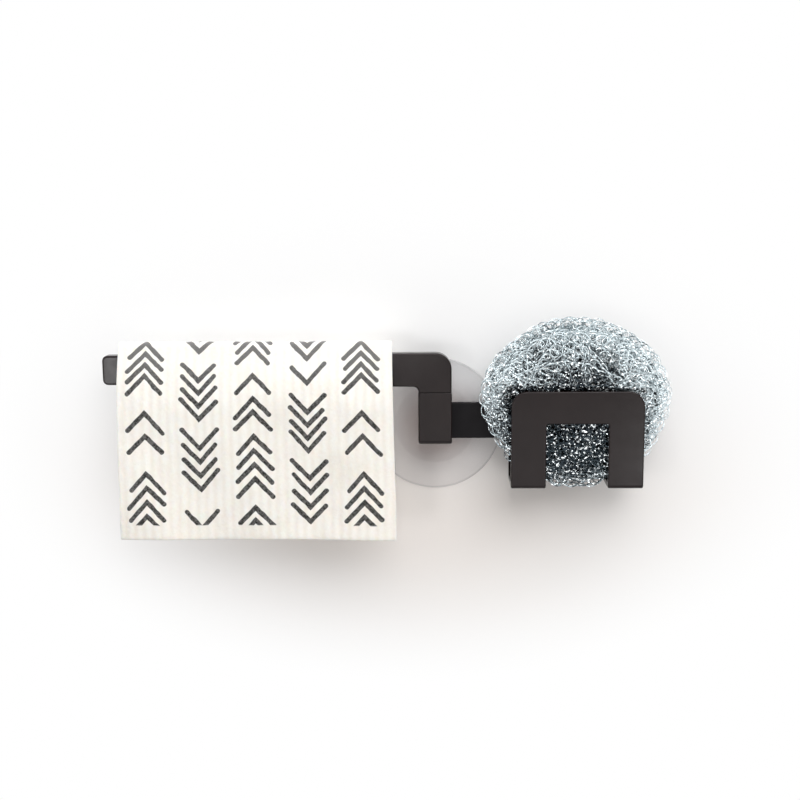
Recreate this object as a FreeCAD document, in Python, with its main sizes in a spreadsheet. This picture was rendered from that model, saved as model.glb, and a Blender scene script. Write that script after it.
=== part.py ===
"""Wall holder for a dishcloth and a scourer, hung on one suction cup.

Frame, in millimetres: +X to the right, +Z up, the wall is the plane y = 0 and the holder stands out
towards -Y. The origin is the centre of the suction cup's flat face. Depths on the sheet are distances
out from the wall.
"""
import FreeCAD, Part
import math
import os
import re
import Sketcher

DIMENSIONS = [
    # suction cup, pressed flat
    ("cup_radius", 42.5, "outer radius of the suction cup"),
    ("cup_rim", 1.0, "thickness of the cup's edge"),
    ("disc_radius", 26.0, "radius of the thicker middle disc"),
    ("disc_foot", 2.4, "cup thickness just outside the middle disc"),
    ("disc_step", 1.0, "height of the step up to the middle disc"),
    ("boss_radius", 10.0, "radius of the boss that grips the knob"),
    ("boss_foot", 5.0, "cup thickness where the boss starts"),
    ("boss_height", 7.0, "top of the boss, from the wall"),
    # knob held in the cup
    ("running_gap", 0.08, "clearance of the knob in the cup"),
    ("anchor_radius", 7.5, "flange at the knob's foot, inside the cup"),
    ("anchor_floor", 2.0, "underside of that flange, from the wall"),
    ("anchor_depth", 1.6, "thickness of that flange"),
    ("stem_radius", 5.0, "stem through the cup's boss"),
    ("stem_top", 7.2, "shoulder at the top of the stem, from the wall"),
    ("neck_radius", 4.0, "neck that the holder hangs on"),
    ("head_radius", 7.0, "radius of the knob's head"),
    ("head_back", 11.3, "underside of the head, from the wall"),
    ("head_front", 15.0, "face of the head, from the wall"),
    ("head_bevel", 1.4, "bevel round the head's face"),
    # strap that links hub and cradle
    ("strap_back", 7.6, "back of the strap, from the wall"),
    ("strap_gauge", 3.4, "thickness of the strap"),
    ("strap_left", 10.2, "strap's reach to the left of the knob"),
    ("strap_right", 83.5, "strap's reach to the right of the knob"),
    ("strap_low", 7.8, "lower edge of the strap, below the knob's axis"),
    ("strap_high", 15.1, "upper edge of the strap, above the knob's axis"),
    ("strap_round", 0.7, "rounding of the strap's front edges"),
    ("slot_gap", 0.1, "clearance of the knob's neck in its slot"),
    # hub, the lower half of the leg
    ("front_face", 25.5, "front of hub and bar, from the wall"),
    ("hub_half", 10.5, "half the hub's width"),
    ("hub_low", 9.0, "hub's underside, below the knob's axis"),
    ("seam_height", 23.7, "top of the hub, where the bar's leg plugs in"),
    ("chamber_gap", 0.4, "room round the knob's head inside the hub"),
    ("chin_round", 3.0, "rounding of the hub's lower front edge"),
    ("side_round", 1.2, "rounding of the hub's and bar's long edges"),
    ("seam_round", 0.4, "rounding of the edges at the seam"),
    # screws that hold the strap to the hub
    ("screw_radius", 1.25, "screw shank"),
    ("screw_head", 2.5, "screw head, at the back of the strap"),
    ("screw_length", 8.0, "length of a screw, head included"),
    ("screw_across", 5.8, "screws' distance from the middle"),
    ("screw_height", 11.6, "screws' height above the knob's axis"),
    ("thread_gap", 0.05, "clearance of the screws in their holes"),
    ("driver_width", 0.7, "width of the cross slot in a screw's head"),
    ("driver_depth", 0.9, "depth of the cross slot"),
    # bar for the cloth, with the leg that plugs into the hub
    ("bar_gauge", 8.5, "thickness of the bar, front to back"),
    ("bar_reach", 207.3, "bar's free end, left of the knob"),
    ("bar_top", 48.75, "bar's top edge at the leg"),
    ("bar_under", 27.6, "bar's lower edge at the leg"),
    ("tip_top", 47.85, "bar's top edge at its free end"),
    ("tip_under", 29.4, "bar's lower edge at its free end"),
    ("tip_round", 3.4, "corners of the free end"),
    ("leg_half", 10.3, "half the leg's width above the seam"),
    ("elbow_round", 10.0, "outer corner of the elbow"),
    ("crook_round", 3.4, "inner corner of the elbow"),
    ("seam_gap", 0.3, "gap seen as the seam line"),
    ("tenon_half", 7.0, "half the width of the tenon under the leg"),
    ("tenon_gauge", 4.6, "thickness of the tenon"),
    ("tenon_back", 17.4, "back of the tenon, from the wall"),
    ("tenon_low", 5.0, "foot of the tenon, above the knob's axis"),
    ("tenon_lead", 0.8, "chamfer at the tenon's foot"),
    ("socket_gap", 0.2, "clearance round the tenon"),
    # cradle for the scourer
    ("cradle_left", 46.5, "cradle's left side"),
    ("cradle_right", 127.7, "cradle's right side"),
    ("cradle_low", 33.9, "cradle's underside, below the knob's axis"),
    ("cradle_high", 26.8, "top of the front plate"),
    ("cradle_back", 11.3, "back of the back plate, from the wall"),
    ("cradle_front", 40.4, "front of the front plate, from the wall"),
    ("cradle_gauge", 3.5, "thickness of the cradle's plates"),
    ("back_high", 22.0, "top of the back plate"),
    ("notch_left", 68.0, "left side of the front notch"),
    ("notch_right", 106.1, "right side of the front notch"),
    ("notch_high", 6.7, "top of the front notch"),
    ("notch_round", 1.5, "corners of the notch"),
    ("plate_corner", 10.0, "top corners of the front plate"),
    ("back_corner", 8.0, "top corners of the back plate"),
    ("bend_round", 2.5, "outside of the bends under the cradle"),
    ("plate_round", 0.9, "rounding of the front plate's edges"),
    # sleeve behind the cradle, which takes the strap's end
    ("sleeve_gap", 0.3, "clearance round the strap in the sleeve"),
    ("sleeve_wall", 2.2, "wall of the sleeve"),
    # dishcloth folded over the bar
    ("cloth_left", 196.6, "cloth's left edge, left of the knob"),
    ("cloth_width", 170.0, "width of the cloth along the bar"),
    ("cloth_length", 200.0, "length of the cloth before it is folded"),
    ("cloth_gauge", 2.0, "thickness of the cloth"),
    ("cloth_front", 124.0, "length of the front panel, from the fold"),
    ("fold_height", 55.0, "middle of the cloth at the fold, above the knob's axis"),
    ("fold_radius", 3.9, "radius of the fold"),
    ("fold_slope", 27.0, "panels' slope from the vertical beside the fold, in degrees"),
    ("front_shoulder", 12.0, "straight stretch of the front panel beside the fold"),
    ("front_bend", 30.0, "length over which the front panel turns down"),
    ("front_slope", 8.5, "front panel's slope at its hem, in degrees"),
    ("back_shoulder", 10.0, "straight stretch of the back panel beside the fold"),
    ("back_bend", 20.0, "length over which the back panel turns down"),
    # scourer standing in the cradle
    ("ball_middle", 87.1, "scourer's middle, right of the knob"),
    ("ball_height", 17.5, "scourer's middle, above the knob's axis"),
    ("ball_across", 56.7, "half the scourer's width"),
    ("ball_up", 54.9, "half the scourer's height when round"),
    ("ball_gap", 0.3, "scourer's clearance from the floor and the back plate"),
    ("ball_front", 36.0, "front of the scourer between the plates, from the wall"),
    ("swell_front", 7.6, "how far it swells forward above the front plate"),
    ("swell_back", 3.8, "how far it swells back above the back plate"),
    ("pressed_ends", 0.96, "radius of its ends over half its depth, where the plates press it flat"),
    ("domed_ends", 0.60, "the same ratio at its crown, where it is free"),
]

doc = FreeCAD.newDocument("SpongeHolder")
sheet = doc.addObject("Spreadsheet::Sheet", "Dims")
for row, (alias, number, note) in enumerate(DIMENSIONS, start=1):
    sheet.set(f"A{row}", alias)
    sheet.set(f"B{row}", str(number))
    sheet.setAlias(f"B{row}", alias)
    sheet.set(f"C{row}", note)
doc.recompute()


def on_sheet(expression):
    """The expression with every alias pointed at the sheet."""
    return re.sub(r"[a-z]+(?:_[a-z]+)+", r"Dims.\g<0>", expression)


def size(expression):
    """The value of an expression written in the sheet's aliases."""
    return float(sheet.evalExpression(on_sheet(expression)))


def bind(thing, prop, expression):
    thing.setExpression(prop, on_sheet(expression))


# Sketches and features shared by the moulded pieces

def new_body(label):
    body = doc.addObject("PartDesign::Body", label)
    body.Label = label
    return body


def sketch_on(body, name, role, offset="0"):
    """An empty sketch on one of the body's own planes, moved along that plane's normal."""
    sketch = body.newObject("Sketcher::SketchObject", name)
    plane = next(item for item in body.Origin.OriginFeatures if item.Role == role)
    sketch.AttachmentSupport = [(plane, "")]
    sketch.MapMode = "FlatFace"
    bind(sketch, "AttachmentOffset.Base.z", offset)
    return sketch


def place_point(sketch, curve, end, across, up):
    """Tie one point of a sketch to the sheet."""
    for kind, axis, expression in (("DistanceX", -2, across), ("DistanceY", -1, up)):
        value = size(expression)
        if value == 0:
            sketch.addConstraint(Sketcher.Constraint("PointOnObject", curve, end, axis))
        else:
            index = sketch.addConstraint(Sketcher.Constraint(kind, -1, 1, curve, end, value))
            bind(sketch, f"Constraints[{index}]", expression)


def polygon(sketch, corners):
    """A closed outline through corners, each a pair of expressions."""
    points = [FreeCAD.Vector(size(across), size(up), 0) for across, up in corners]
    count = len(points)
    for i in range(count):
        sketch.addGeometry(Part.LineSegment(points[i], points[(i + 1) % count]), False)
    for i in range(count):
        sketch.addConstraint(Sketcher.Constraint("Coincident", i, 2, (i + 1) % count, 1))
    for i, (across, up) in enumerate(corners):
        place_point(sketch, i, 1, across, up)


def rectangle(sketch, left, right, low, high):
    polygon(sketch, [(left, low), (right, low), (right, high), (left, high)])


def circle(sketch, across, up, radius):
    centre = FreeCAD.Vector(size(across), size(up), 0)
    curve = sketch.addGeometry(Part.Circle(centre, FreeCAD.Vector(0, 0, 1), size(radius)), False)
    index = sketch.addConstraint(Sketcher.Constraint("Radius", curve, size(radius)))
    bind(sketch, f"Constraints[{index}]", radius)
    place_point(sketch, curve, 3, across, up)


def pad(body, name, sketch, length, reverse=False):
    feature = body.newObject("PartDesign::Pad", name)
    feature.Profile = sketch
    feature.Reversed = reverse
    bind(feature, "Length", length)
    doc.recompute()
    return feature


def pocket(body, name, sketch, length, reverse=False):
    """A pocket against the sketch's normal, or along it when reversed, which has to remove something."""
    before = body.Shape.Volume
    feature = body.newObject("PartDesign::Pocket", name)
    feature.Profile = sketch
    feature.Reversed = reverse
    bind(feature, "Length", length)
    doc.recompute()
    if body.Shape.Volume >= before:
        raise RuntimeError(f"{name} removes nothing")
    return feature


def turn(body, name, sketch):
    """A full revolution about the sketch's upright axis."""
    feature = body.newObject("PartDesign::Revolution", name)
    feature.Profile = sketch
    feature.ReferenceAxis = (sketch, ["V_Axis"])
    feature.Angle = 360
    doc.recompute()
    return feature


def edges_at(shape, skip=None, **planes):
    """Names of the edges that lie in the planes given as x, y or z values."""
    def lies_in(edge, chosen):
        box = edge.BoundBox
        spans = {"x": (box.XMin, box.XMax), "y": (box.YMin, box.YMax), "z": (box.ZMin, box.ZMax)}
        return all(abs(end - value) < 0.01 for axis, value in chosen.items() for end in spans[axis])

    return [f"Edge{i}" for i, edge in enumerate(shape.Edges, start=1)
            if lies_in(edge, planes) and not (skip and lies_in(edge, skip))]


def dress(body, kind, name, amount, edges):
    """A fillet or a chamfer on edges of the body as it is so far."""
    if not edges:
        raise RuntimeError(f"{name} finds no edge")
    base = body.Tip
    feature = body.newObject(f"PartDesign::{kind}", name)
    feature.Base = (base, edges)
    bind(feature, "Radius" if kind == "Fillet" else "Size", amount)
    doc.recompute()
    return feature


# Suction cup: a thin flange, a thicker disc and a boss with a socket for the knob

def make_suction_cup():
    body = new_body("suction_cup")
    sketch = sketch_on(body, "cup_section", "XY_Plane")
    polygon(sketch, [
        ("0", "0"),
        ("cup_radius", "0"),
        ("cup_radius", "-cup_rim"),
        ("disc_radius", "-disc_foot"),
        ("disc_radius - disc_step / 2", "-disc_foot - disc_step"),
        ("boss_radius + disc_step", "-boss_foot"),
        ("boss_radius", "-boss_height"),
        ("stem_radius + running_gap", "-boss_height"),
        ("stem_radius + running_gap", "-anchor_floor - anchor_depth - running_gap"),
        ("anchor_radius + running_gap", "-anchor_floor - anchor_depth - running_gap"),
        ("anchor_radius + running_gap", "-anchor_floor + running_gap"),
        ("0", "-anchor_floor + running_gap"),
    ])
    turn(body, "cup_turned", sketch)
    return body


# Knob: flange in the cup, stem, neck and mushroom head

def make_cup_knob():
    body = new_body("cup_knob")
    sketch = sketch_on(body, "knob_section", "XY_Plane")
    polygon(sketch, [
        ("0", "-anchor_floor"),
        ("anchor_radius", "-anchor_floor"),
        ("anchor_radius", "-anchor_floor - anchor_depth"),
        ("stem_radius", "-anchor_floor - anchor_depth"),
        ("stem_radius", "-stem_top"),
        ("neck_radius", "-stem_top"),
        ("neck_radius", "-head_back"),
        ("head_radius", "-head_back"),
        ("head_radius", "-head_front + head_bevel"),
        ("head_radius - head_bevel", "-head_front"),
        ("0", "-head_front"),
    ])
    turn(body, "knob_turned", sketch)
    return body


# Strap: hangs on the knob's neck by a slot open at the bottom, and runs right to the cradle

def make_link_strap():
    body = new_body("link_strap")
    sketch = sketch_on(body, "strap_outline", "XZ_Plane", "strap_back")
    rectangle(sketch, "-strap_left", "strap_right", "-strap_low", "strap_high")
    pad(body, "strap_plate", sketch, "strap_gauge")
    front = -size("strap_back + strap_gauge")
    long_edges = [edge for level in ("-strap_low", "strap_high")
                  for edge in edges_at(body.Shape, y=front, z=size(level))]
    dress(body, "Fillet", "strap_edges", "strap_round", long_edges)

    slot_top = sketch_on(body, "slot_top", "XZ_Plane", "strap_back")
    circle(slot_top, "0", "0", "neck_radius + slot_gap")
    pocket(body, "slot_top_cut", slot_top, "strap_gauge", reverse=True)
    slot_way = sketch_on(body, "slot_way", "XZ_Plane", "strap_back")
    rectangle(slot_way, "-neck_radius - slot_gap", "neck_radius + slot_gap", "-strap_low - 1", "0")
    pocket(body, "slot_way_cut", slot_way, "strap_gauge", reverse=True)

    holes = sketch_on(body, "screw_holes", "XZ_Plane", "strap_back")
    for side in ("-screw_across", "screw_across"):
        circle(holes, side, "screw_height", "screw_radius + thread_gap")
    pocket(body, "screw_holes_cut", holes, "strap_gauge", reverse=True)
    rims = [name for name in edges_at(body.Shape, y=-size("strap_back"))
            if body.Shape.getElement(name).Curve.TypeId == "Part::GeomCircle"
            and abs(body.Shape.getElement(name).Curve.Radius - size("screw_radius + thread_gap")) < 0.01]
    dress(body, "Chamfer", "countersinks", "screw_head - screw_radius", rims)
    return body


# Screws: countersunk heads flush with the back of the strap, with a cross slot each

def make_hub_screws():
    screws = []
    for number, side in enumerate(("-screw_across", "screw_across"), start=1):
        head = doc.addObject("Part::Cone", f"screw_head_{number}")
        bind(head, "Radius1", "screw_head")
        bind(head, "Radius2", "screw_radius")
        bind(head, "Height", "screw_head - screw_radius")
        shank = doc.addObject("Part::Cylinder", f"screw_shank_{number}")
        bind(shank, "Radius", "screw_radius")
        bind(shank, "Height", "screw_length")
        solid = doc.addObject("Part::Fuse", f"screw_blank_{number}")
        solid.Base = head
        solid.Tool = shank
        for arm in ("Length", "Width"):
            bar = doc.addObject("Part::Box", f"driver_{arm}_{number}")
            across = "Width" if arm == "Length" else "Length"
            bind(bar, arm, "screw_head * 1.3")
            bind(bar, across, "driver_width")
            bind(bar, "Height", "driver_depth")
            bind(bar, "Placement.Base.x" if arm == "Length" else "Placement.Base.y", "-screw_head * 0.65")
            bind(bar, "Placement.Base.y" if arm == "Length" else "Placement.Base.x", "-driver_width / 2")
            slotted = doc.addObject("Part::Cut", f"screw_{arm}_{number}")
            slotted.Base = solid
            slotted.Tool = bar
            solid = slotted
        solid.Placement.Rotation = FreeCAD.Rotation(FreeCAD.Vector(1, 0, 0), 90)
        bind(solid, "Placement.Base.x", side)
        bind(solid, "Placement.Base.y", "-strap_back")
        bind(solid, "Placement.Base.z", "screw_height")
        screws.append(solid)
    pair = doc.addObject("Part::Compound", "hub_screws")
    pair.Links = screws
    pair.Label = "hub_screws"
    return pair


# Hub: moulded block with a chamber for the knob's head behind and a socket for the bar's tenon on top

def make_mount_hub():
    body = new_body("mount_hub")
    back = "strap_back + strap_gauge"
    sketch = sketch_on(body, "hub_outline", "XZ_Plane", back)
    rectangle(sketch, "-hub_half", "hub_half", "-hub_low", "seam_height")
    pad(body, "hub_block", sketch, f"front_face - ({back})")

    front = -size("front_face")
    dress(body, "Fillet", "hub_chin", "chin_round", edges_at(body.Shape, y=front, z=-size("hub_low")))
    sides = [edge for side in ("-hub_half", "hub_half")
             for edge in edges_at(body.Shape, y=front, x=size(side))]
    dress(body, "Fillet", "hub_sides", "side_round", sides)
    dress(body, "Fillet", "hub_seam_edge", "seam_round", edges_at(body.Shape, y=front, z=size("seam_height")))

    chamber = sketch_on(body, "head_chamber", "XZ_Plane", back)
    rectangle(chamber, "-head_radius - chamber_gap", "head_radius + chamber_gap",
              "-hub_low - 1", "head_radius + chamber_gap")
    pocket(body, "head_chamber_cut", chamber, f"head_front + chamber_gap - ({back})", reverse=True)

    socket = sketch_on(body, "tenon_socket", "XY_Plane", "seam_height")
    rectangle(socket, "-tenon_half - socket_gap", "tenon_half + socket_gap",
              "-tenon_back - tenon_gauge - socket_gap", "-tenon_back + socket_gap")
    pocket(body, "tenon_socket_cut", socket, "seam_height - tenon_low + socket_gap")

    pilots = sketch_on(body, "pilot_holes", "XZ_Plane", back)
    for side in ("-screw_across", "screw_across"):
        circle(pilots, side, "screw_height", "screw_radius + thread_gap")
    pocket(body, "pilot_holes_cut", pilots,
           f"strap_back + screw_length + thread_gap - ({back})", reverse=True)
    return body


# Bar: tapers towards its free end, turns down at the elbow and plugs into the hub

def make_cloth_arm():
    body = new_body("cloth_arm")
    leg_foot = "seam_height + seam_gap"
    sketch = sketch_on(body, "bar_outline", "XZ_Plane", "front_face - bar_gauge")
    polygon(sketch, [
        ("-bar_reach", "tip_under"),
        ("-leg_half", "bar_under"),
        ("-leg_half", leg_foot),
        ("leg_half", leg_foot),
        ("leg_half", "bar_top"),
        ("-bar_reach", "tip_top"),
    ])
    pad(body, "bar_blank", sketch, "bar_gauge")
    dress(body, "Fillet", "elbow", "elbow_round",
          edges_at(body.Shape, x=size("leg_half"), z=size("bar_top")))
    dress(body, "Fillet", "crook", "crook_round",
          edges_at(body.Shape, x=-size("leg_half"), z=size("bar_under")))
    tip = [edge for level in ("tip_under", "tip_top")
           for edge in edges_at(body.Shape, x=-size("bar_reach"), z=size(level))]
    dress(body, "Fillet", "tip", "tip_round", tip)

    foot = {"z": size(leg_foot)}
    front_loop = edges_at(body.Shape, skip=foot, y=-size("front_face"))
    back_loop = edges_at(body.Shape, skip=foot, y=-size("front_face - bar_gauge"))
    dress(body, "Fillet", "bar_edges", "side_round", front_loop + back_loop)
    dress(body, "Fillet", "leg_seam_edge", "seam_round",
          edges_at(body.Shape, y=-size("front_face"), z=size(leg_foot)))

    tenon = sketch_on(body, "tenon_outline", "XZ_Plane", "tenon_back")
    rectangle(tenon, "-tenon_half", "tenon_half", "tenon_low", "seam_height + bar_gauge")
    pad(body, "tenon", tenon, "tenon_gauge")
    dress(body, "Chamfer", "tenon_foot", "tenon_lead", edges_at(body.Shape, z=size("tenon_low")))
    return body


# Cradle: front plate, floor and back plate bent from one thickness, notched in front, with a sleeve behind

def make_sponge_cradle():
    body = new_body("sponge_cradle")
    section = sketch_on(body, "cradle_section", "YZ_Plane", "cradle_left")
    polygon(section, [
        ("-cradle_front", "-cradle_low"),
        ("-cradle_back", "-cradle_low"),
        ("-cradle_back", "back_high"),
        ("-cradle_back - cradle_gauge", "back_high"),
        ("-cradle_back - cradle_gauge", "-cradle_low + cradle_gauge"),
        ("-cradle_front + cradle_gauge", "-cradle_low + cradle_gauge"),
        ("-cradle_front + cradle_gauge", "cradle_high"),
        ("-cradle_front", "cradle_high"),
    ])
    pad(body, "cradle_bent", section, "cradle_right - cradle_left")
    bends = [edge for depth in ("cradle_front", "cradle_back")
             for edge in edges_at(body.Shape, y=-size(depth), z=-size("cradle_low"))]
    dress(body, "Fillet", "cradle_bends", "bend_round", bends)

    notch = sketch_on(body, "notch_outline", "XZ_Plane", "cradle_front")
    rectangle(notch, "notch_left", "notch_right", "-cradle_low - 1", "notch_high")
    pocket(body, "notch_cut", notch, "cradle_front - cradle_back - cradle_gauge")
    notch_corners = [edge for side in ("notch_left", "notch_right")
                     for edge in edges_at(body.Shape, x=size(side), z=size("notch_high"))]
    dress(body, "Fillet", "notch_corners", "notch_round", notch_corners)
    for name, corner, level in (("plate_corners", "plate_corner", "cradle_high"),
                                ("back_corners", "back_corner", "back_high")):
        corners = [edge for side in ("cradle_left", "cradle_right")
                   for edge in edges_at(body.Shape, x=size(side), z=size(level))]
        dress(body, "Fillet", name, corner, corners)
    dress(body, "Fillet", "front_edges", "plate_round", edges_at(body.Shape, y=-size("cradle_front")))

    sleeve = sketch_on(body, "sleeve_outline", "XZ_Plane", "cradle_back")
    rim = "sleeve_gap + sleeve_wall"
    rectangle(sleeve, "cradle_left", f"strap_right + {rim}", f"-strap_low - {rim}", f"strap_high + {rim}")
    pad(body, "sleeve_block", sleeve, f"cradle_back - strap_back + {rim}", reverse=True)
    way = sketch_on(body, "sleeve_way", "XZ_Plane", "strap_back - sleeve_gap")
    rectangle(way, "cradle_left - 1", "strap_right + sleeve_gap",
              "-strap_low - sleeve_gap", "strap_high + sleeve_gap")
    pocket(body, "sleeve_way_cut", way, "cradle_back - strap_back + sleeve_gap", reverse=True)
    return body


# Dishcloth: a sheet folded over the bar, its panels sloping away from the fold and then hanging down

def sheet_edges(start, heading, moves, side):
    """Edges at one side of a path in the plane x = 0, as lines and arcs.

    The path starts at a point (depth, height) and a heading, in degrees from straight out of the wall,
    and each move is a length and the degrees it turns through.
    """
    def at(depth, height):
        return FreeCAD.Vector(0, -depth, height)

    def beside(point, angle):
        return at(point[0] - side * math.sin(angle), point[1] + side * math.cos(angle))

    edges = []
    point = start
    angle = math.radians(heading)
    for length, degrees in moves:
        bend = math.radians(degrees)
        first = beside(point, angle)
        stops = []
        for share in (0.5, 1.0):
            swing = bend * share / 2
            chord = length * share * (math.sin(swing) / swing if swing else 1.0)
            stop = (point[0] + chord * math.cos(angle + swing), point[1] + chord * math.sin(angle + swing))
            stops.append((stop, angle + bend * share))
        middle, last = [beside(*stop) for stop in stops]
        curve = Part.Arc(first, middle, last) if bend else Part.LineSegment(first, last)
        edges.append(curve.toShape())
        point, angle = stops[-1]
    return edges


def make_dishcloth():
    fold_turn = 90 - size("fold_slope")
    fold_length = size("fold_radius") * math.radians(fold_turn)
    front_rest = size("cloth_front - front_shoulder - front_bend") - fold_length
    back_rest = size("cloth_length - cloth_front - back_shoulder - back_bend") - fold_length
    fold = (size("front_face - bar_gauge / 2"), size("fold_height"))
    front_moves = [
        (fold_length, -fold_turn),
        (size("front_shoulder"), 0),
        (size("front_bend"), size("front_slope - fold_slope")),
        (front_rest, 0),
    ]
    back_moves = [
        (fold_length, fold_turn),
        (size("back_shoulder"), 0),
        (size("back_bend"), size("fold_slope")),
        (back_rest, 0),
    ]
    half = size("cloth_gauge / 2")
    over_front = sheet_edges(fold, 0, front_moves, half)
    under_front = sheet_edges(fold, 0, front_moves, -half)
    over_back = sheet_edges(fold, 180, back_moves, -half)
    under_back = sheet_edges(fold, 180, back_moves, half)
    hems = [Part.LineSegment(upper[-1].Vertexes[-1].Point, lower[-1].Vertexes[-1].Point).toShape()
            for upper, lower in ((over_front, under_front), (over_back, under_back))]
    outline = Part.Wire(Part.__sortEdges__(over_front + under_front + over_back + under_back + hems))
    cloth = doc.addObject("Part::Feature", "dishcloth")
    cloth.Label = "dishcloth"
    cloth.Shape = Part.Face(outline).extrude(FreeCAD.Vector(size("cloth_width"), 0, 0))
    cloth.Placement.Base = FreeCAD.Vector(-size("cloth_left"), 0, 0)
    return cloth


# Scourer: a round ball pressed flat between the cradle's plates, which swells into a dome above them

def scourer_section(height, half_width, depth_back, depth_front, ends):
    """A level oval of four arcs that run into each other: front, back and both ends.

    The ends' radius is a share of half the depth: near 1 the front and back are flat, below it they are
    domed.
    """
    middle = (depth_front + depth_back) / 2
    half_depth = (depth_front - depth_back) / 2
    end_radius = half_depth * ends
    end_centre = half_width - end_radius
    broad_radius = (end_centre ** 2 + half_depth ** 2 - end_radius ** 2) / (2 * (half_depth - end_radius))
    join_across = end_centre * broad_radius / (broad_radius - end_radius)
    join_depth = end_radius * (broad_radius - half_depth) / (broad_radius - end_radius)

    def at(across, depth):
        return FreeCAD.Vector(across, -middle - depth, height)

    edges = []
    for side in (1, -1):
        broad_start = at(-side * join_across, side * join_depth)
        broad_stop = at(side * join_across, side * join_depth)
        end_stop = at(side * join_across, -side * join_depth)
        edges.append(Part.Arc(broad_start, at(0, side * half_depth), broad_stop).toShape())
        edges.append(Part.Arc(broad_stop, at(side * half_width, 0), end_stop).toShape())
    return Part.Wire(edges)


def make_scourer():
    floor = size("cradle_gauge - cradle_low + ball_gap")
    shelf = size("cradle_high")
    crown = size("ball_height + ball_up")
    back = size("cradle_back + cradle_gauge + ball_gap")
    front = size("ball_front")
    in_cradle, above = 5, 10
    levels = [floor + (shelf - floor) * i / in_cradle for i in range(in_cradle)]
    levels += [shelf + (crown - shelf) * math.sin(math.pi / 2 * i / above) for i in range(above)]
    sections = []
    for height in levels:
        rise = (height - size("ball_height")) / size("ball_up")
        half_width = size("ball_across") * math.sqrt(1 - rise ** 2)
        free = max(height - shelf, 0) / (crown - shelf)
        swell = math.sin(math.pi * free)
        pinch = (front - back) / 2 * (1 - math.sqrt(1 - free ** 4))
        depth_back = back - size("swell_back") * swell + pinch
        depth_front = front + size("swell_front") * swell - pinch
        ends = size("pressed_ends") + size("domed_ends - pressed_ends") * math.sqrt(free)
        sections.append(scourer_section(height, half_width, depth_back, depth_front, ends))
    ball = doc.addObject("Part::Feature", "scourer")
    ball.Label = "scourer"
    ball.Shape = Part.makeLoft(sections, True, True)
    ball.Placement.Base = FreeCAD.Vector(size("ball_middle"), 0, 0)
    return ball


def main():
    pieces = [
        make_suction_cup(),
        make_cup_knob(),
        make_link_strap(),
        make_hub_screws(),
        make_mount_hub(),
        make_cloth_arm(),
        make_sponge_cradle(),
        make_dishcloth(),
        make_scourer(),
    ]
    doc.recompute()
    for item in doc.Objects:
        if "Invalid" in item.State or "Error" in item.State:
            raise RuntimeError(f"{item.Name} failed: {item.State}")
    for piece in pieces:
        if piece.Shape.isNull() or not piece.Shape.isValid():
            raise RuntimeError(f"{piece.Label} has no valid shape")
    os.makedirs("parts", exist_ok=True)
    for piece in pieces:
        piece.Shape.exportStep(f"parts/{piece.Label}.step")
        box = piece.Shape.BoundBox
        print(f"{piece.Label}: {len(piece.Shape.Solids)} solid(s), {piece.Shape.Volume / 1000:.2f} cm3, "
              f"x {box.XMin:.1f} to {box.XMax:.1f}, y {box.YMin:.1f} to {box.YMax:.1f}, "
              f"z {box.ZMin:.1f} to {box.ZMax:.1f}")


main()
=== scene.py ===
"""Looks of the wall holder: its cloth and scourer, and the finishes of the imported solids."""

import math
import random

import bpy
from mathutils import Matrix, Vector, noise


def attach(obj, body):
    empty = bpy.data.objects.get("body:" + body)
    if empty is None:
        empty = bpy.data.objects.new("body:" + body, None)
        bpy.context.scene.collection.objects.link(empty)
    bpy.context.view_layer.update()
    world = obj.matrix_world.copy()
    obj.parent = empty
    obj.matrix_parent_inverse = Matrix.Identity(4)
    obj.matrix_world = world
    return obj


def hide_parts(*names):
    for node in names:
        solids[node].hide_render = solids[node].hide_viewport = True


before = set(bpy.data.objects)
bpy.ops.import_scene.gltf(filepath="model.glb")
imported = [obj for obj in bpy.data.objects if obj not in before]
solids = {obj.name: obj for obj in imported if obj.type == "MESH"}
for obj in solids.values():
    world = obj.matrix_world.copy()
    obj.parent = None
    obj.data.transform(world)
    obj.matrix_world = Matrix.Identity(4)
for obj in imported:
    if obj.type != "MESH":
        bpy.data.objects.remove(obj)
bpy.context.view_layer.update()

MM = 0.001

# Camera, fitted to the edges of the holder
CAMERA_PLACE = (-0.0015, -0.7906, 0.1541)
CAMERA_RIGHT = (0.9997, 0.0252, -0.0076)
CAMERA_UP = (0.0031, 0.1733, 0.9849)
LENS = 56.25
SENSOR = 36.0

# Light of the room, by height, and its share from the camera's side
ROOM_HEIGHTS = (-0.7, 0.9)
ROOM_LEVELS = (0.22, 0.85)
ROOM_TURN = (-0.95, -0.2)
ROOM_SHARES = (0.50, 1.0)

# Lamps: place, the point that they face and size, in metres, and power in watts
LAMPS = {
    "window": ((0.3, -0.9, 0.75), (-0.03, 0, 0), (0.9, 0.7), 6.8),
    "overhead": ((-0.02, -0.32, 1.0), (-0.02, 0, 0), (0.8, 0.45), 4.2),
    "side_fill": ((-0.43, -0.85, -0.075), (-0.10, 0, 0.02), (0.13, 0.17), 0.75),
    "cradle_fill": ((0.32, -0.88, -0.23), (0.11, 0, -0.01), (0.10, 0.16), 0.22),
    "elbow_fill": ((-0.05, -0.93, -0.05), (-0.02, 0, 0.04), (0.10, 0.07), 0.10),
    "low_fill": ((0.05, -1.1, -0.4), (0.0, 0, -0.03), (1.0, 0.5), 1.3),
    "back_fill": ((0.25, 0.9, 0.5), (-0.03, 0, 0), (1.0, 1.0), 6.0),
}

# Wall, in metres: it fades to white outside an oval, and below the holder it is painted warmer, a painted
# warm shade
WALL_SIZE = 6.0
WALL_BEHIND = 0.0006
OVAL_MIDDLE = (-0.018, -0.016)
OVAL_HALF = (0.224, 0.130)
OVAL_FADE = (0.42, 1.25)
WARM_SHADE_HEIGHTS = (0.035, -0.05)
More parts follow.
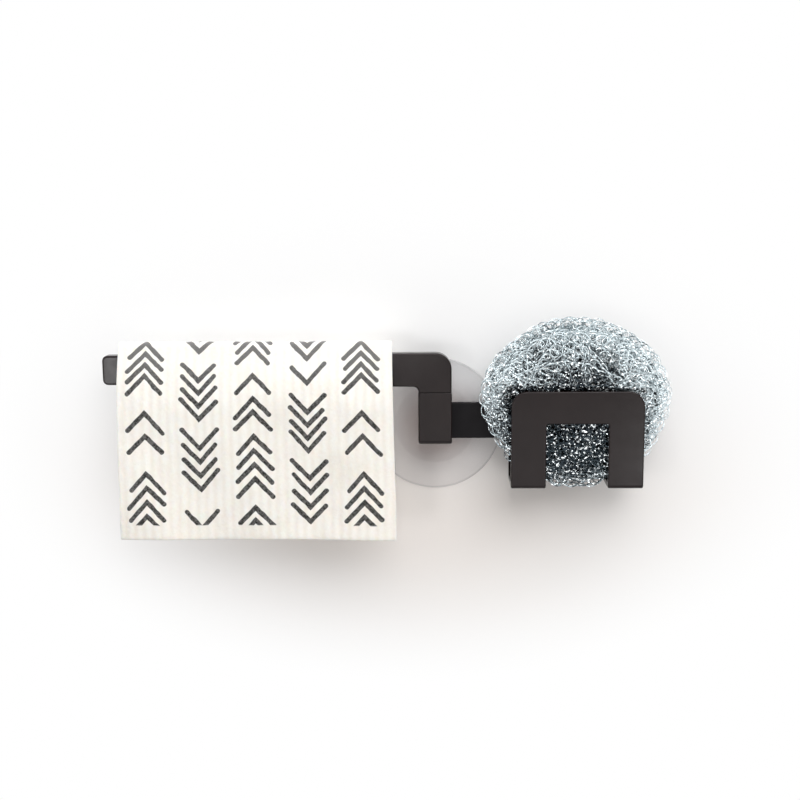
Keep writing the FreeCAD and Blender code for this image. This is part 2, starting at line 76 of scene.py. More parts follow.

# Suction cup: the thicker middle, whose darker, warmer tint is also painted shade of the hub's shadow on the
# wall behind, the step round it and the lip at the rim, by the distance from the axis in metres, and how
# much each adds to the cover of the thin film
CUP_MIDDLE, MIDDLE_COVER = (0.0380, 0.0080), 0.14
CUP_STEP, STEP_COVER = (0.0262, 0.0250), 0.025
CUP_LIP, LIP_COVER = (0.0411, 0.0420), 0.09
FILM_COVER = (0.075, 0.105)

# Colours, as red, green and blue in linear light: a pair holds the ends of a mottled mix
VINYL_THIN = ((0.21, 0.202, 0.22), (0.27, 0.262, 0.28))
VINYL_THICK_SHADED = (0.25, 0.18, 0.17)
STEEL = ((0.42, 0.42, 0.41), (0.62, 0.62, 0.60))
# the dark end of the wire's mix is oxide, and also painted shade and painted dark reflections
WIRE_ZINC = ((0.026, 0.034, 0.040), (0.50, 0.565, 0.59))
WIRE_PAINTED_GLINT = (0.85, 0.89, 0.90)
CLOTH_VALLEY = ((0.825, 0.775, 0.71), (0.87, 0.835, 0.78))
CLOTH_RIDGE = ((0.905, 0.88, 0.83), (0.925, 0.905, 0.86))
INK_FRESH = ((0.003, 0.0028, 0.0027), (0.116, 0.111, 0.108))
INK_PAINTED_SHEEN = (0.150, 0.147, 0.144)
WALL_COOL = ((0.940, 0.937, 0.937), (0.950, 0.947, 0.947))
WALL_WARM_SHADE = ((0.950, 0.897, 0.858), (0.960, 0.907, 0.868))

# Ranges that the finishes share: the levels that most of a noise lies between, and the whole of a share
NOISE_LEVELS = (0.3, 0.7)
WHOLE = (0, 1)
WITHOUT_DEPTH = (1, 0, 1)

# Moulded plastic: how far wear and a painted highlight reach round an edge, in metres, their share, and the
# change in roughness
EDGE_WEAR_AND_HIGHLIGHT = 0.0007
WEAR_AND_HIGHLIGHT_SHARES = (0.2, 0.5)
ROUGH_CHANCE = 0.06

# Cloth, in millimetres: the fold lies over the bar, and depth is measured out from the wall
CLOTH_LEFT = -196.6
CLOTH_WIDTH = 170.0
CLOTH_LENGTH = 200.0
CLOTH_FRONT = 124.0
CLOTH_GAUGE = 2.0
CLOTH_ROUND = 0.45
CLOTH_CREASE = 60.0
FOLD_DEPTH = 21.25
FOLD_HEIGHT = 55.0
FOLD_RADIUS = 3.9
FOLD_SLOPE = 27.0
FRONT_SHOULDER = 12.0
FRONT_BEND = 30.0
FRONT_SLOPE = 8.5
BACK_SHOULDER = 10.0
BACK_BEND = 20.0
PATH_STEP = 0.05

# Rows of the cloth's mesh, close together over the fold, and columns, by the steps to a rib
FOLD_REACH = 11.0
FOLD_STEP = 0.6
PANEL_STEP = 2.4
RIB_PITCH = 5.5
RIB_STEPS = 4

# Unevenness of the cloth: it is loose far from the fold and soft nearer to it
LOOSE_FROM, LOOSE_TO = 18.0, 120.0
SOFT_FROM, SOFT_TO = 4.0, 20.0
FRONT_LOOSE, BACK_LOOSE = 0.75, 0.45
RIB_RISE = 0.16
WAVE_RISE, WAVE_LENGTH, WAVE_START = 1.3, 23.0, 0.8
WAVELET_RISE, WAVELET_LENGTH, WAVELET_SLANT = 1.1, 11.5, 60.0
CLOTH_SKEW, SKEW_CURVE = 3.0, 1.2
# noises by their rise, and by the two lengths that they change over and a slice of the noise
BILLOW_RISE, BILLOW_GRAIN = 3.0, (45.0, 60.0, 3.1)
LUMP_RISE, LUMP_GRAIN = 0.5, (9.0, 12.0, 7.7)
EDGE_RISE, EDGE_GRAIN = 0.8, (30.0, 90.0, 1.3)
HEM_RISE, HEM_LENGTH, HEM_SLICE = 0.8, 35.0, 5.5

# Print on the cloth: columns of hand-drawn chevrons that point up and down in turn
COLUMN_FIRST = 17.2
COLUMN_PITCH = 33.4
STROKE_REACH = 10.2
STROKE_SLOPE = 1.06
STROKE_HALF = 1.38
STROKE_SOFT = 0.2
LENGTH_CHANCE = 0.9
TILT_CHANCE = 0.09
INK_SWAY = 0.35
BARE_HEM = 9.0
HEM_SOFT = 0.3
PAINTED_SHEEN_REACH, PAINTED_SHEEN_MOST = (84.0, 121.0), 0.9
POINTING_UP = ((14.6, 4, 8.7), (63.9, 2, 14.2), (101.1, 4, 7.1), (144.0, 2, 14.2), (180.0, 2, 8.7))
COLUMNS = (
    # each group of strokes: the first one's distance from the front hem, how many, and their pitch
    POINTING_UP,
    ((7.0, 1, 8.4), (31.2, 4, 8.4), (74.4, 4, 7.9), (116.6, 4, 7.8), (157.5, 4, 8.2)),
    ((12.2, 2, 7.6), (37.6, 4, 8.7), (78.9, 2, 8.0), (101.2, 1, 8.0), (119.0, 4, 7.4), (158.0, 2, 8.0)),
    ((11.3, 4, 8.9), (54.8, 4, 7.9), (96.4, 1, 8.0), (111.8, 4, 8.2), (154.0, 4, 8.2)),
    POINTING_UP,
)

# Light taken in by the cloth: bare, and under the ink
CLOTH_SOAK, INK_SOAK = 0.5, 0.36
SOAK_RADIUS = (1.0, 0.8, 0.6)
SOAK_SCALE = 0.002
RIB_WANDER = 1.6

# Scourer, in millimetres: curled flat wire wound into a ball that the cradle presses flat
BALL_X = 87.1
BALL_Z = 17.5
BALL_WIDE = 54.2
BALL_HIGH = 51.4
BALL_DEEP = 17.0
BALL_BOTTOM = -49.4
BALL_HUB = 26.0
CURL_STEPS = 11
WIRE_WIDE = 0.62
WIRE_THICK = 0.20
WIRE_CREASE = 50.0
STRANDS = (
    # how many strands, and their course: laps round the ball, curls and their radius, the layers of the ball
    # that they keep to, and in radians their tilt from the rim and the lean of their loops
    (5, dict(laps=1.0, curls=38, curl_radius=2.9, layers=(0.97, 1.00), tilt=0.14, leaning=0.12)),
    (10, dict(laps=1.1, curls=54, curl_radius=2.8, layers=(0.89, 0.95), tilt=0.4, leaning=0.3)),
    (15, dict(laps=1.2, curls=84, curl_radius=2.7, layers=(0.83, 0.90), tilt=3.2, leaning=0.45)),
    (20, dict(laps=1.3, curls=96, curl_radius=2.5, layers=(0.72, 0.85), tilt=3.2, leaning=0.6)),
    (15, dict(laps=1.3, curls=96, curl_radius=2.5, layers=(0.40, 0.74), tilt=3.2, leaning=0.8)),
)
BUNDLES = 5
STRAND_SEED = 11

# Form of the ball: pressed between the plates, free and wider above them
PRESSED_TO, FREE_FROM = 20.0, 36.0
PRESSED_MIDDLE, FREE_MIDDLE = 25.7, 27.0
PRESSED_SWELL, FREE_SWELL = 10.6, 18.2
FREE_ROUNDING = 0.5
PRESSED_SQUARER = 0.15
WIDER = 0.08
WIDER_FROM, WIDEST_FROM = 0.0, 27.0
WIDEST_TO, WIDER_TO = 38.0, 66.0

# Room for the wire in the cradle: between the plates and over them, above the floor and down into its gap
PLATES_X = 86.95
PLATES_HALF = 42.0
PLATE_BACK, PLATE_FRONT = 15.3, 36.4
OVER_BACK, OVER_FRONT = 24.0, 28.0
OVER_SPREAD = 2.5
FLOOR_TOP = -29.6
GAP_X = 86.9
GAP_HALF = 17.2
GAP_SPREAD = 1.3
GAP_SAG = 5.4
WIRE_BACK, WIRE_FRONT = 11.7, 43.6

# Unevenness of a strand: its laps, how deep its course sinks, and how far it looks ahead for its direction
LAP_CHANCE = 0.1
COURSE_SINK, SINK_PACE = 0.04, 2.5
LOOK_AHEAD = 4
LOOP_ASIDE = 0.25
# drifts of its course and its loops, by their amount, their pace and a slice of the noise
COURSE_DRIFT = (0.6, 0.8, 0.0)
LEAN_DRIFT = (1.3, 0.012, 14.0)
BEND_DRIFT = (1.6, 0.02, 9.0)
RADIUS_DRIFT = (0.4, 0.035, 4.0)
SKEW_DRIFT = (0.9, 0.05, 24.0)

# Painted light and shade of the wire, added to its spots: painted shade by layer deep in the ball, and
# painted light towards the rim, upwards and to the right
LAYER_PAINTED_SHADE = ((0.6, 1.05), (-0.33, 0.12))
RIM_PAINTED_LIGHT = ((0.35, 0.95), (-0.26, 0.0))
UPPER_PAINTED_LIGHT = ((-0.03, 0.07), (-0.09, 0.47))
RIGHT_PAINTED_LIGHT = ((0.03, 0.145), (-0.19, 0.05))
OXIDE_AND_LIGHT_LEVELS = (0.34, 0.72)
PAINTED_GLINT_LEVELS = (0.58, 0.67)


# Tools for shaping
def clear_selection():
    if bpy.context.mode != "OBJECT":
        bpy.ops.object.mode_set(mode="OBJECT")
    bpy.ops.object.select_all(action="DESELECT")


def pick(piece):
    clear_selection()
    piece.select_set(True)
    bpy.context.view_layer.objects.active = piece


def modify(piece, kind, **settings):
    """Adds a modifier and applies it."""
    pick(piece)
    made = piece.modifiers.new(kind.lower(), kind)
    for name, value in settings.items():
        setattr(made, name, value)
    bpy.ops.object.modifier_apply(modifier=made.name)


def smooth_step(value, low, high):
    share = min(1.0, max(0.0, (value - low) / (high - low)))
    return share * share * (3 - 2 * share)


def uneven(x, y, z):
    """Smooth noise about zero."""
    return noise.noise(Vector((x, y, z)))


def ripple(first, second, grain):
    """Smooth noise over a sheet, by the two lengths that it changes over and a slice of the noise."""
    return uneven(first / grain[0], second / grain[1], grain[2])


def drift(kind, run, seed):
    """Smooth noise along a strand, by its amount, its pace and a slice of the noise."""
    amount, pace, part = kind
    return amount * uneven(run * pace, seed, part)


# Finishes
class Nodes:
    """A node tree in the making: each node is added by its kind, with its inputs linked or set."""

    def __init__(self, tree):
        self.tree = tree

    def put(self, socket, value):
        if isinstance(value, bpy.types.NodeSocket):
            self.tree.links.new(value, socket)
        else:
            socket.default_value = value

    def add(self, kind, inputs=(), **settings):
        """A node, whose inputs are given as (name or place, value)."""
        made = self.tree.nodes.new("ShaderNode" + kind)
        for name, value in settings.items():
            setattr(made, name, value)
        for name, value in inputs:
            self.put(made.inputs[name], value)
        return made

    def calc(self, operation, first, second=0.0, third=0.0):
        inputs = [(0, first), (1, second), (2, third)]
        return self.add("Math", inputs, operation=operation).outputs[0]

    def total(self, first, *others):
        for other in others:
            first = self.calc("ADD", first, other)
        return first

    def vector(self, operation, first, second):
        return self.add("VectorMath", [(0, first), (1, second)], operation=operation).outputs[0]

    def length(self, vector):
        return self.add("VectorMath", [(0, vector)], operation="LENGTH").outputs["Value"]

    def apart(self, vector):
        return self.add("SeparateXYZ", [("Vector", vector)]).outputs

    def together(self, x, y, z=0.0):
        return self.add("CombineXYZ", [("X", x), ("Y", y), ("Z", z)]).outputs[0]

    def spread(self, value, between, to, kind="LINEAR"):
        """A value's place between two levels, carried over to two others and held at their ends."""
        inputs = [(0, value), (1, between[0]), (2, between[1]), (3, to[0]), (4, to[1])]
        return self.add("MapRange", inputs, interpolation_type=kind).outputs[0]

    def seen(self):
        """1 for what the camera sees, also in shiny and clear surfaces, and 0 for light on a surface."""
        rays = self.add("LightPath").outputs
        shiny = self.calc("MAXIMUM", rays["Is Glossy Ray"], rays["Is Transmission Ray"])
        return self.calc("MAXIMUM", rays["Is Camera Ray"], shiny)


class Finish(Nodes):
    """A material in the making."""

    def __init__(self, name):
        self.material = bpy.data.materials.new(name)
        self.material.use_nodes = True
        super().__init__(self.material.node_tree)
        self.shader = self.tree.nodes["Principled BSDF"]
        self.output = self.tree.nodes["Material Output"]

    def place(self):
        return self.add("TexCoord").outputs["Object"]

    def grain(self, where, scale, detail, rough=0.5):
        inputs = [("Vector", where), ("Scale", scale), ("Detail", detail), ("Roughness", rough)]
        return self.add("TexNoise", inputs).outputs[0]

    def drawn_grain(self, where, scales, detail):
        """Grain with a scale of its own along each axis."""
        stretched = self.add("Mapping", [("Vector", where), ("Scale", scales)]).outputs[0]
        return self.grain(stretched, scale=1, detail=detail)

    def blend(self, share, *colours):
        """A mix of two colours, each a socket or its red, green and blue."""
        made = self.add("Mix", data_type="RGBA")
        self.put(made.inputs[0], share)
        for socket, colour in zip(made.inputs[6:8], colours):
            self.put(socket, colour if isinstance(colour, bpy.types.NodeSocket) else (*colour, 1))
        return made.outputs[2]

    def bump(self, height, distance, strength, below=None):
        inputs = [("Height", height), ("Distance", distance), ("Strength", strength)]
        if below is not None:
            inputs.append(("Normal", below))
        return self.add("Bump", inputs).outputs[0]

    def edges(self, radius):
        """1 along the edges of the piece and 0 on its flat faces."""
        round_off = self.add("Bevel", [("Radius", radius)], samples=6).outputs[0]
        flat = self.add("NewGeometry").outputs["Normal"]
        lined = self.add("VectorMath", [(0, round_off), (1, flat)], operation="DOT_PRODUCT")
        return self.spread(lined.outputs["Value"], (0.99, 0.80), WHOLE)

    def look(self, **sockets):
        """Sets or links the shader's sockets, named in lower case."""
        for name, value in sockets.items():
            found = [s for s in self.shader.inputs if s.name.lower().replace(" ", "_") == name]
            self.put(found[0], value)
        return self.material


def moulded_plastic(name, dark, light, edge, rough, shine, grain_size):
    """Matt moulded plastic: fine spark-eroded grain, faint flow marks, edges lighter from wear and from a
    painted highlight.
    """
    made = Finish(name)
    where = made.place()
    flow = made.grain(where, scale=38, detail=3)
    speck = made.grain(where, scale=1 / grain_size, detail=2)
    smear = made.grain(where, scale=120, detail=4)
    body = made.blend(made.spread(flow, NOISE_LEVELS, WHOLE), dark, light)
    patches = made.spread(flow, (0.35, 0.65), WEAR_AND_HIGHLIGHT_SHARES)
    # the lighter edges are wear, and also a painted highlight where light catches the rounded edges
    wear_and_highlight = made.calc("MULTIPLY", made.edges(EDGE_WEAR_AND_HIGHLIGHT), patches)
    colour = made.blend(wear_and_highlight, body, edge)
    fine = made.bump(speck, distance=0.00005, strength=0.3)
    wavy = made.bump(flow, distance=0.0004, strength=0.08, below=fine)
    gloss = made.spread(smear, NOISE_LEVELS, (rough - ROUGH_CHANCE, rough + ROUGH_CHANCE))
    return made.look(base_color=colour, roughness=gloss, normal=wavy, specular_ior_level=shine)


def clear_pvc():
    """Soft clear vinyl, a little grey, thicker and darker towards its middle, where the warmer tint is also
    painted shade of the hub's shadow, and hazier where it has been handled.
    """
    made = Finish("clear_pvc")
    made.material.blend_method = "BLEND"
    where = made.place()
    haze = made.grain(where, scale=55, detail=4)
    scuff = made.drawn_grain(where, scales=(900, 900, 160), detail=3)
    out = made.length(made.vector("MULTIPLY", where, WITHOUT_DEPTH))
    # painted shade: the middle of the cup is darker and warmer, for its thicker vinyl and for the hub's
    # shadow on the wall behind
    middle = made.spread(out, CUP_MIDDLE, WHOLE, "SMOOTHSTEP")
    tint = made.blend(middle, made.blend(haze, *VINYL_THIN), VINYL_THICK_SHADED)
    film = made.spread(haze, (0.25, 0.75), FILM_COVER)
    thick_and_shade_cover = made.calc("MULTIPLY", middle, MIDDLE_COVER)
    step = made.spread(out, CUP_STEP, (0, STEP_COVER))
    lip = made.spread(out, CUP_LIP, (0, LIP_COVER))
    cover = made.total(film, thick_and_shade_cover, step, lip)
    gloss = made.spread(scuff, NOISE_LEVELS, (0.12, 0.24))
    fine = made.bump(scuff, distance=0.00004, strength=0.3)
    return made.look(base_color=tint, roughness=gloss, alpha=cover, normal=fine, specular_ior_level=0.5)


def screw_steel():
    """Plated steel with fine turning marks."""
    made = Finish("screw_steel")
    turned = made.drawn_grain(made.place(), scales=(300, 6000, 300), detail=2)
    colour = made.blend(turned, *STEEL)
    gloss = made.spread(turned, NOISE_LEVELS, (0.22, 0.38))
    marks = made.bump(turned, distance=0.00004, strength=0.4)
    return made.look(base_color=colour, metallic=1.0, roughness=gloss, normal=marks)


def scourer_wire():
    """Galvanised flat wire with painted glints in short stretches, dark oxide spots that also paint dark
    reflections, painted shade inside the ball, and painted light towards the rim, the top and the right.
    """
    made = Finish("scourer_wire")
    where = made.place()
    # dark spots: oxide on the wire, which also stand for painted dark reflections
    spots = made.grain(where, scale=520, detail=2, rough=0.6)
    painted_glints = made.grain(where, scale=560, detail=1)
    drawn = made.grain(where, scale=2600, detail=2)

    # shares of the way out from the ball's middle, in all and as seen from the front
    middle = Vector((BALL_X, -FREE_MIDDLE, BALL_Z)) * MM
    half = Vector((BALL_WIDE, BALL_DEEP, BALL_HIGH)) * MM
    shares = made.vector("DIVIDE", made.vector("SUBTRACT", where, middle), half)
    # painted shade and light: the wire is painted darker deep inside the ball, and lighter towards its rim,
    # upwards and to the right
    layer = made.spread(made.length(shares), *LAYER_PAINTED_SHADE)
    rim = made.spread(made.length(made.vector("MULTIPLY", shares, WITHOUT_DEPTH)), *RIM_PAINTED_LIGHT)
    spot = made.apart(where)
    upper = made.spread(spot["Z"], *UPPER_PAINTED_LIGHT)
    right = made.spread(spot["X"], *RIGHT_PAINTED_LIGHT)

    # the oxide spots together with the painted light and shade
    oxide_and_painted_light = made.spread(made.total(spots, layer, rim, upper, right), OXIDE_AND_LIGHT_LEVELS, WHOLE)
    # painted glints: short stretches of the wire painted near white, where light would glint
    colour = made.blend(made.spread(painted_glints, PAINTED_GLINT_LEVELS, WHOLE), made.blend(oxide_and_painted_light, *WIRE_ZINC), WIRE_PAINTED_GLINT)
    gloss = made.spread(painted_glints, (0.45, 0.62), (0.24, 0.10))
    marks = made.bump(drawn, distance=0.00006, strength=0.35)
    return made.look(base_color=colour, metallic=1.0, roughness=gloss, normal=marks)


def nearest_stroke(made, rise, groups):
    """The place along the cloth of the stroke of a column that is nearest to a height."""
    places = [first + pitch * number for first, count, pitch in groups for number in range(count)]
    ramp = made.add("ValToRGB", [("Fac", made.calc("DIVIDE", rise, CLOTH_LENGTH))])
    ramp.color_ramp.interpolation = "CONSTANT"
    stops = ramp.color_ramp.elements
    stops.remove(stops[1])
    for before, place in zip([None] + places, places):
        stop = stops[0] if before is None else stops.new((before + place) / 2 / CLOTH_LENGTH)
        stop.color = (*[place / CLOTH_LENGTH] * 3, 1)
    return made.calc("MULTIPLY", ramp.outputs[0], CLOTH_LENGTH)


def cloth_marks(made, across, along):
    """1 on the strokes of the chevrons and 0 between them; every other column points down."""
    from_first = made.calc("SUBTRACT", across, COLUMN_FIRST)
    column = made.calc("ROUND", made.calc("DIVIDE", from_first, COLUMN_PITCH))
    aside = made.calc("SUBTRACT", from_first, made.calc("MULTIPLY", column, COLUMN_PITCH))
    reach = made.calc("ABSOLUTE", aside)
    side = made.spread(made.calc("FLOORED_MODULO", column, 2.0), WHOLE, (1, -1))
    rise = made.calc("MULTIPLY_ADD", reach, made.calc("MULTIPLY", side, STROKE_SLOPE), along)
    nearest = 0.0
    for number, groups in enumerate(COLUMNS):
        here = made.calc("COMPARE", column, number, 0.4)
        nearest = made.calc("MULTIPLY_ADD", here, nearest_stroke(made, rise, groups), nearest)

    # each stroke is a little off its slope and its length, as drawn by hand
    tag = made.together(nearest, column, made.calc("SIGN", aside))
    chance = made.add("TexWhiteNoise", [("Vector", tag)], noise_dimensions="3D").outputs["Color"]
    jog = made.add("SeparateColor", [("Color", chance)]).outputs
    tilt = made.calc("MULTIPLY", reach, made.spread(jog[0], WHOLE, (-TILT_CHANCE, TILT_CHANCE)))
    missed = made.total(made.calc("SUBTRACT", rise, nearest), tilt)
    slant = math.atan(STROKE_SLOPE)
    reaches = (STROKE_REACH - LENGTH_CHANCE, STROKE_REACH + LENGTH_CHANCE)
    length = made.spread(jog[1], WHOLE, [end / math.cos(slant) for end in reaches])

    # distance from the stroke's middle line, and past its end
    beside = made.calc("MULTIPLY", missed, math.cos(slant))
    back = made.calc("MULTIPLY", made.calc("MULTIPLY", missed, side), math.sin(slant))
    run = made.calc("SUBTRACT", made.calc("DIVIDE", reach, math.cos(slant)), back)
    past = made.calc("MAXIMUM", made.calc("SUBTRACT", run, length), 0.0)
    away = made.length(made.together(beside, past))
    stroke = made.spread(away, (STROKE_HALF - STROKE_SOFT, STROKE_HALF + STROKE_SOFT), (1, 0), "SMOOTHSTEP")
    inside = made.spread(along, (BARE_HEM - HEM_SOFT, BARE_HEM + HEM_SOFT), WHOLE)
    return made.calc("MULTIPLY", stroke, inside)


def sponge_cloth(name, printed):
    """Cream sponge cloth: soft ribs along its length, open pores, and on one face a charcoal print."""
    made = Finish(name)
    layout = made.apart(made.add("UVMap", uv_map="flat").outputs[0])
    across = made.calc("MULTIPLY", layout[0], CLOTH_WIDTH)
    along = made.calc("MULTIPLY", layout[1], CLOTH_LENGTH)
    where = made.place()
    pores = made.grain(where, scale=1500, detail=3, rough=0.65)
    lumps = made.grain(where, scale=520, detail=2)
    cloud = made.grain(where, scale=30, detail=3)

    # ribs that wander a little, stronger in some parts than in others
    strays = made.drawn_grain(where, scales=(60, 60, 14), detail=2)
    wander = made.spread(strays, WHOLE, (-RIB_WANDER, RIB_WANDER))
    rib_turn = made.calc("MULTIPLY", made.total(across, wander), 2 * math.pi / RIB_PITCH)
    rib = made.spread(made.calc("SINE", rib_turn), (-1, 1), WHOLE)
    ribbed = made.calc("MULTIPLY", rib, made.spread(cloud, NOISE_LEVELS, (0.15, 0.55)))
    # painted shade: the valleys of the ribs are painted darker than the ridges, with lumps of random tone
    shade = made.total(ribbed, made.calc("MULTIPLY", lumps, 0.7))
    valley = made.blend(cloud, *CLOTH_VALLEY)
    ridge = made.blend(cloud, *CLOTH_RIDGE)
    colour = made.blend(made.spread(shade, (0.2, 0.85), WHOLE), valley, ridge)

    soak = CLOTH_SOAK
    if printed:
        sway = made.spread(made.grain(where, scale=210, detail=1), WHOLE, (-INK_SWAY, INK_SWAY))
        marks = cloth_marks(made, made.total(across, sway), made.total(along, sway))
        inked = made.calc("MULTIPLY", marks, made.spread(pores, (0.3, 0.62), (1.0, 0.94)))
        blots = made.spread(made.grain(where, scale=640, detail=2), (0.38, 0.66), WHOLE)
        # painted sheen: the ink is painted lighter near the fold, where the cloth tilts up into the light
        # from above
        painted_sheen = made.spread(along, PAINTED_SHEEN_REACH, (0, PAINTED_SHEEN_MOST), "SMOOTHSTEP")
        ink = made.blend(painted_sheen, made.blend(blots, *INK_FRESH), INK_PAINTED_SHEEN)
        colour = made.blend(inked, colour, ink)
        soak = made.spread(inked, WHOLE, (CLOTH_SOAK, INK_SOAK))
    height = made.total(made.calc("MULTIPLY", pores, 0.6), lumps)
    relief = made.bump(height, distance=0.0005, strength=0.5)
    gloss = made.spread(pores, NOISE_LEVELS, (0.86, 0.98))
    return made.look(base_color=colour, roughness=gloss, normal=relief, specular_ior_level=0.2,
                     sheen_weight=0.15, sheen_roughness=0.6, subsurface_weight=soak,
                     subsurface_radius=SOAK_RADIUS, subsurface_scale=SOAK_SCALE)


# Cloth: a flat sheet laid over the fold's path
def panel_path(side, length, stretches):
    """Depth, height and heading along the middle of a panel, from the fold, at every path step."""
    ends = []
    total = 0.0
    for stretch, angle in stretches:
        total += stretch
        ends.append((total, angle / stretch))
    depth, height, heading = FOLD_DEPTH, FOLD_HEIGHT, 0.0
    points = [(depth, height, heading)]
    gone = 0.0
    while gone < length:
        rate = next((turning for end, turning in ends if gone < end), 0.0)
        heading += math.radians(rate * PATH_STEP)
        depth += side * math.cos(heading) * PATH_STEP
        height -= math.sin(heading) * PATH_STEP
        gone += PATH_STEP
        points.append((depth, height, heading))
    return points


def cloth_panels():
    """Paths of the front and the back panel: the fold, a straight shoulder, a bend, and a straight fall."""
    turn = 90 - FOLD_SLOPE
    fold = (FOLD_RADIUS * math.radians(turn), turn)
    front = [fold, (FRONT_SHOULDER, 0), (FRONT_BEND, FOLD_SLOPE - FRONT_SLOPE)]
    back = [fold, (BACK_SHOULDER, 0), (BACK_BEND, FOLD_SLOPE)]
    return panel_path(1, CLOTH_FRONT, front), panel_path(-1, CLOTH_LENGTH - CLOTH_FRONT, back)


def cloth_rows():
    """Distances from the front hem of the rows of the sheet, close together over the fold."""
    rows = [0.0]
    while rows[-1] < CLOTH_LENGTH - PANEL_STEP / 2:
        near = abs(rows[-1] - CLOTH_FRONT) < FOLD_REACH
        rows.append(rows[-1] + (FOLD_STEP if near else PANEL_STEP))
    rows[-1] = CLOTH_LENGTH
    return rows


def hang_cloth(across, along, panels):
    """Where a point of the flat sheet hangs."""
    run = CLOTH_FRONT - along
    in_front = run >= 0
    points = panels[0] if in_front else panels[1]
    depth, height, heading = points[min(len(points) - 1, int(round(abs(run) / PATH_STEP)))]
    loose = smooth_step(abs(run), LOOSE_FROM, LOOSE_TO)
    soft = smooth_step(abs(run), SOFT_FROM, SOFT_TO)

    # how far the point stands off the smooth path
    sway = WAVE_RISE * math.sin(across / WAVE_LENGTH + WAVE_START)
    sway += WAVELET_RISE * math.sin(across / WAVELET_LENGTH + along / WAVELET_SLANT)
    sway += BILLOW_RISE * ripple(across, along, BILLOW_GRAIN)
    lift = loose * sway * (FRONT_LOOSE if in_front else BACK_LOOSE)
    lift += LUMP_RISE * ripple(across, along, LUMP_GRAIN) * soft
    lift += RIB_RISE * math.sin(2 * math.pi * across / RIB_PITCH)

    # how far it strays sideways, and up or down
    x = CLOTH_LEFT + across + CLOTH_SKEW * (max(run, 0) / CLOTH_FRONT) ** SKEW_CURVE
    x += loose * EDGE_RISE * ripple(along, across, EDGE_GRAIN)
    hem = HEM_RISE * loose * uneven(across / HEM_LENGTH, HEM_SLICE, 0.0)
    out = math.sin(heading) if in_front else -math.sin(heading)
    return Vector((x, -(depth + out * lift), height + math.cos(heading) * lift + hem)) * MM


def make_cloth(printed, plain):
    rows = cloth_rows()
    columns = int(round(CLOTH_WIDTH / RIB_PITCH * RIB_STEPS))
    clear_selection()
    bpy.ops.mesh.primitive_grid_add(x_subdivisions=columns, y_subdivisions=len(rows) - 1, size=1)
    cloth = bpy.context.object
    cloth.name = "dishcloth_sheet"
    panels = cloth_panels()
    flat = cloth.data.uv_layers[0]
    flat.name = "flat"
    places = []
    for point in cloth.data.vertices:
        row = int(round((point.co.y + 0.5) * (len(rows) - 1)))
        places.append((CLOTH_WIDTH * (point.co.x + 0.5), rows[row]))
    for corner in cloth.data.loops:
        across, along = places[corner.vertex_index]
        flat.data[corner.index].uv = (across / CLOTH_WIDTH, along / CLOTH_LENGTH)
    for point, place in zip(cloth.data.vertices, places):
        point.co = hang_cloth(*place, panels)
    cloth.data.materials.append(printed)
    cloth.data.materials.append(plain)
    modify(cloth, "SOLIDIFY", thickness=CLOTH_GAUGE * MM, offset=0.0, material_offset=1,
           material_offset_rim=1, use_even_offset=True)
    modify(cloth, "BEVEL", width=CLOTH_ROUND * MM, segments=2, limit_method="ANGLE",
           angle_limit=math.radians(CLOTH_CREASE))
    pick(cloth)
    bpy.ops.object.shade_smooth()
    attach(cloth, "cloth")
    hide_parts("dishcloth")


# Scourer: long curls of flat wire that run round the ball in several layers
def ball_point(way, shell):
    """Where a direction from the ball's middle meets a layer of it, with the ball pressed by the plates."""
    z = BALL_HIGH * way.z * shell
    height = BALL_Z + z
    free = smooth_step(height, WIDER_FROM, WIDEST_FROM) * (1 - smooth_step(height, WIDEST_TO, WIDER_TO))
    x = BALL_WIDE * way.x * shell * (1 + WIDER * free)
    pressed = 1 - smooth_step(height, PRESSED_TO, FREE_FROM)
    swell = FREE_SWELL * (1 - pressed) + PRESSED_SWELL * pressed
    middle = FREE_MIDDLE * (1 - pressed) + PRESSED_MIDDLE * pressed
    fuller = math.copysign(abs(way.y) ** (FREE_ROUNDING - PRESSED_SQUARER * pressed), way.y)
    return Vector((BALL_X + x, -(middle + swell * fuller * shell), BALL_Z + max(z, BALL_BOTTOM)))


def keep_clear(point):
    """Holds a point of the wire between the plates, above the floor and within the ball's depth."""
    x, depth, z = point.x, -point.y, point.z
    if abs(x - PLATES_X) < PLATES_HALF:
        over_back = max(0.0, z - OVER_BACK) * OVER_SPREAD
        over_front = max(0.0, z - OVER_FRONT) * OVER_SPREAD
        depth = min(max(depth, PLATE_BACK - over_back), PLATE_FRONT + over_front)
    sag = max(0.0, GAP_HALF - abs(x - GAP_X)) * GAP_SPREAD
    z = max(z, FLOOR_TOP - min(sag, GAP_SAG))
    depth = min(max(depth, WIRE_BACK), WIRE_FRONT)
    return Vector((x, -depth, z))


